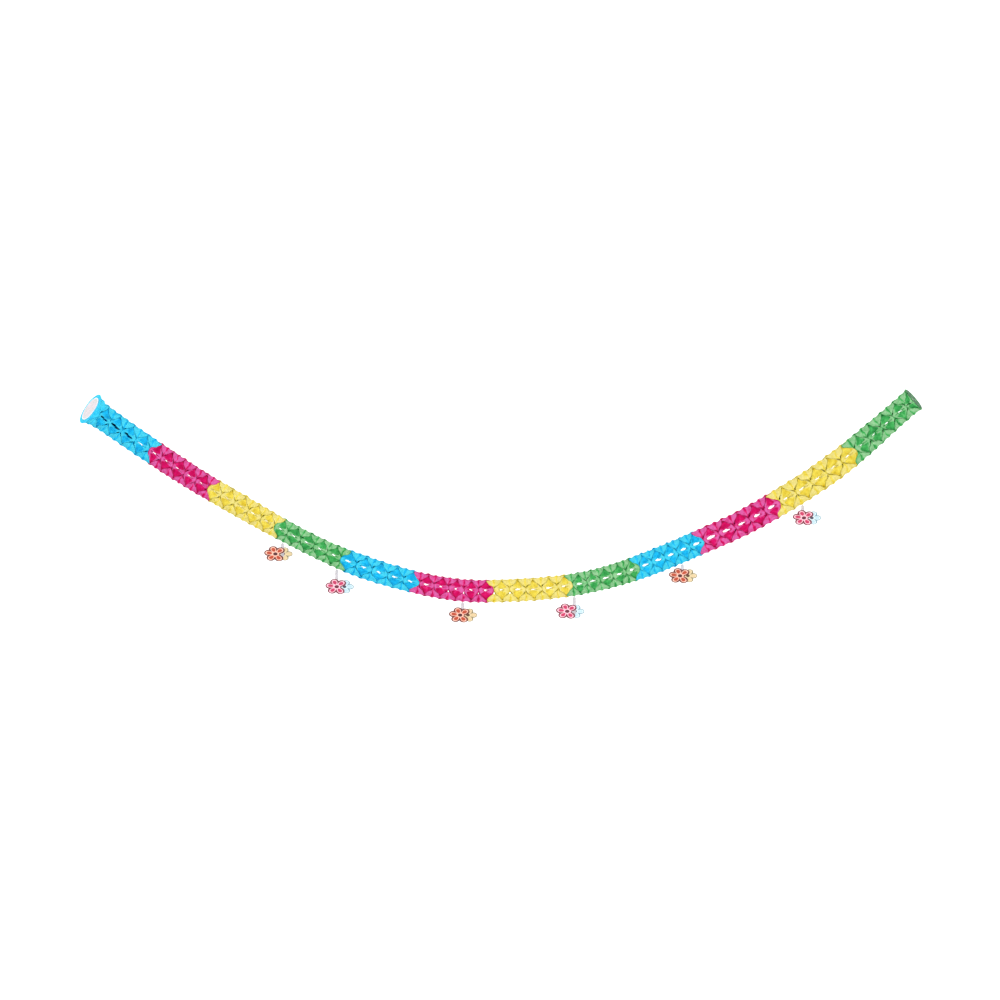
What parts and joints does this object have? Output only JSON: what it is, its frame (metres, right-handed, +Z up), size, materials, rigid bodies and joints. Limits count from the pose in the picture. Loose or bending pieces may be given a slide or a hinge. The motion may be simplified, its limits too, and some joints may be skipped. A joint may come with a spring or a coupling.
{
  "type": "tissue paper garland",
  "caption": "Tissue-paper concertina garland in colour blocks, hung in a slack curve, with an end card at each end and flower-shaped charms swinging under it.",
  "frame": {"origin": "middle of the left end card's outer face, where the garland is fixed", "axes": "+X from the left end to the right end, +Z up, -Y towards the viewer of the picture"},
  "size_m": [3.65, 0.186, 1.0119],
  "materials": {
    "tissue_blue": "thin blue tissue paper, matt",
    "tissue_pink": "thin pink tissue paper, matt",
    "tissue_yellow": "thin yellow tissue paper, matt",
    "tissue_green": "thin green tissue paper, matt",
    "card": "stiff white card, matt",
    "strip": "clear plastic strip",
    "front_orange": "printed card, red and orange",
    "front_pink": "printed card, pink and red",
    "back_gold": "printed card, golden yellow",
    "back_ice": "printed card, pale blue"
  },
  "bodies": {
    "segment_01": {"end_card_left": "card", "tissue_01_blue": "tissue_blue"},
    "segment_02": {"tissue_02_pink": "tissue_pink"},
    "segment_03": {"tissue_03_yellow": "tissue_yellow"},
    "segment_04": {"tissue_04_green": "tissue_green"},
    "segment_05": {"tissue_05_blue": "tissue_blue"},
    "segment_06": {"tissue_06_pink": "tissue_pink"},
    "segment_07": {"tissue_07_yellow": "tissue_yellow"},
    "segment_08": {"tissue_08_green": "tissue_green"},
    "segment_09": {"tissue_09_blue": "tissue_blue"},
    "segment_10": {"tissue_10_pink": "tissue_pink"},
    "segment_11": {"tissue_11_yellow": "tissue_yellow"},
    "segment_12": {"tissue_12_green": "tissue_green", "end_card_right": "card"},
    "charm_1": {"strip_1": "strip", "flower_front_1": "front_orange", "flower_back_1": "back_gold"},
    "charm_2": {"strip_2": "strip", "flower_front_2": "front_pink", "flower_back_2": "back_ice"},
    "charm_3": {"strip_3": "strip", "flower_front_3": "front_orange", "flower_back_3": "back_gold"},
    "charm_4": {"strip_4": "strip", "flower_front_4": "front_pink", "flower_back_4": "back_ice"},
    "charm_5": {"strip_5": "strip", "flower_front_5": "front_orange", "flower_back_5": "back_gold"},
    "charm_6": {"strip_6": "strip", "flower_front_6": "front_pink", "flower_back_6": "back_ice"}
  },
  "joints": [
    {"name": "concertina_01", "type": "slide", "parent": "segment_01", "child": "segment_02", "axis": [-0.8178, -0.1297, 0.5607], "range_m": [0, 0.42057], "deforming": ["tissue_01_blue"]},
    {"name": "concertina_02", "type": "slide", "parent": "segment_02", "child": "segment_03", "axis": [-0.8583, 0, 0.5132], "range_m": [0, 0.2843], "deforming": ["tissue_02_pink"]},
    {"name": "concertina_03", "type": "slide", "parent": "segment_03", "child": "segment_04", "axis": [-0.8717, 0, 0.49], "range_m": [0, 0.20894], "deforming": ["tissue_03_yellow"]},
    {"name": "concertina_04", "type": "slide", "parent": "segment_04", "child": "segment_05", "axis": [-0.9001, 0, 0.4357], "range_m": [0, 0.23159], "deforming": ["tissue_04_green"]},
    {"name": "concertina_05", "type": "slide", "parent": "segment_05", "child": "segment_06", "axis": [-0.9674, 0, 0.2533], "range_m": [0, 0.49479], "deforming": ["tissue_05_blue"]},
    {"name": "concertina_06", "type": "slide", "parent": "segment_06", "child": "segment_07", "axis": [-0.9999, 0, -0.0116], "range_m": [0, 0.24316], "deforming": ["tissue_06_pink"]},
    {"name": "concertina_07", "type": "slide", "parent": "segment_07", "child": "segment_08", "axis": [-0.9945, 0, -0.1049], "range_m": [0, 0.18408], "deforming": ["tissue_07_yellow"]},
    {"name": "concertina_08", "type": "slide", "parent": "segment_08", "child": "segment_09", "axis": [-0.9543, 0, -0.299], "range_m": [0, 0.42921], "deforming": ["tissue_08_green"]},
    {"name": "concertina_09", "type": "slide", "parent": "segment_09", "child": "segment_10", "axis": [-0.9157, 0, -0.402], "range_m": [0, 0.2437], "deforming": ["tissue_09_blue"]},
    {"name": "concertina_10", "type": "slide", "parent": "segment_10", "child": "segment_11", "axis": [-0.8722, 0, -0.4891], "range_m": [0, 0.27356], "deforming": ["tissue_10_pink"]},
    {"name": "concertina_11", "type": "slide", "parent": "segment_11", "child": "segment_12", "axis": [-0.7838, 0.0405, -0.6197], "range_m": [0, 0.59047], "deforming": ["tissue_11_yellow", "tissue_12_green"]},
    {"name": "charm_1_swing", "type": "hinge", "parent": "segment_04", "child": "charm_1", "pos_m": [0.83163, 0.0566, -0.58176], "axis": [1, 0, 0], "range_deg": [-45, 45]},
    {"name": "charm_2_swing", "type": "hinge", "parent": "segment_05", "child": "charm_2", "pos_m": [1.06635, 0.0606, -0.69706], "axis": [1, 0, 0], "range_deg": [-45, 45]},
    {"name": "charm_3_swing", "type": "hinge", "parent": "segment_06", "child": "charm_3", "pos_m": [1.61298, 0.0646, -0.83928], "axis": [1, 0, 0], "range_deg": [-45, 45]},
    {"name": "charm_4_swing", "type": "hinge", "parent": "segment_08", "child": "charm_4", "pos_m": [2.09761, 0.0566, -0.81471], "axis": [1, 0, 0], "range_deg": [-45, 45]},
    {"name": "charm_5_swing", "type": "hinge", "parent": "segment_09", "child": "charm_5", "pos_m": [2.56628, 0.0606, -0.6746], "axis": [1, 0, 0], "range_deg": [-45, 45]},
    {"name": "charm_6_swing", "type": "hinge", "parent": "segment_11", "child": "charm_6", "pos_m": [3.0881, 0.0646, -0.41749], "axis": [1, 0, 0], "range_deg": [-45, 45]}
  ],
  "couplings": [
    {"joint": "concertina_02", "follows": "concertina_01", "ratio": 0.67482},
    {"joint": "concertina_03", "follows": "concertina_01", "ratio": 0.49562},
    {"joint": "concertina_04", "follows": "concertina_01", "ratio": 0.54948},
    {"joint": "concertina_05", "follows": "concertina_01", "ratio": 1.1753},
    {"joint": "concertina_06", "follows": "concertina_01", "ratio": 0.57698},
    {"joint": "concertina_07", "follows": "concertina_01", "ratio": 0.43651},
    {"joint": "concertina_08", "follows": "concertina_01", "ratio": 1.0194},
    {"joint": "concertina_09", "follows": "concertina_01", "ratio": 0.57828},
    {"joint": "concertina_10", "follows": "concertina_01", "ratio": 0.64926},
    {"joint": "concertina_11", "follows": "concertina_01", "ratio": 1.4028}
  ]
}
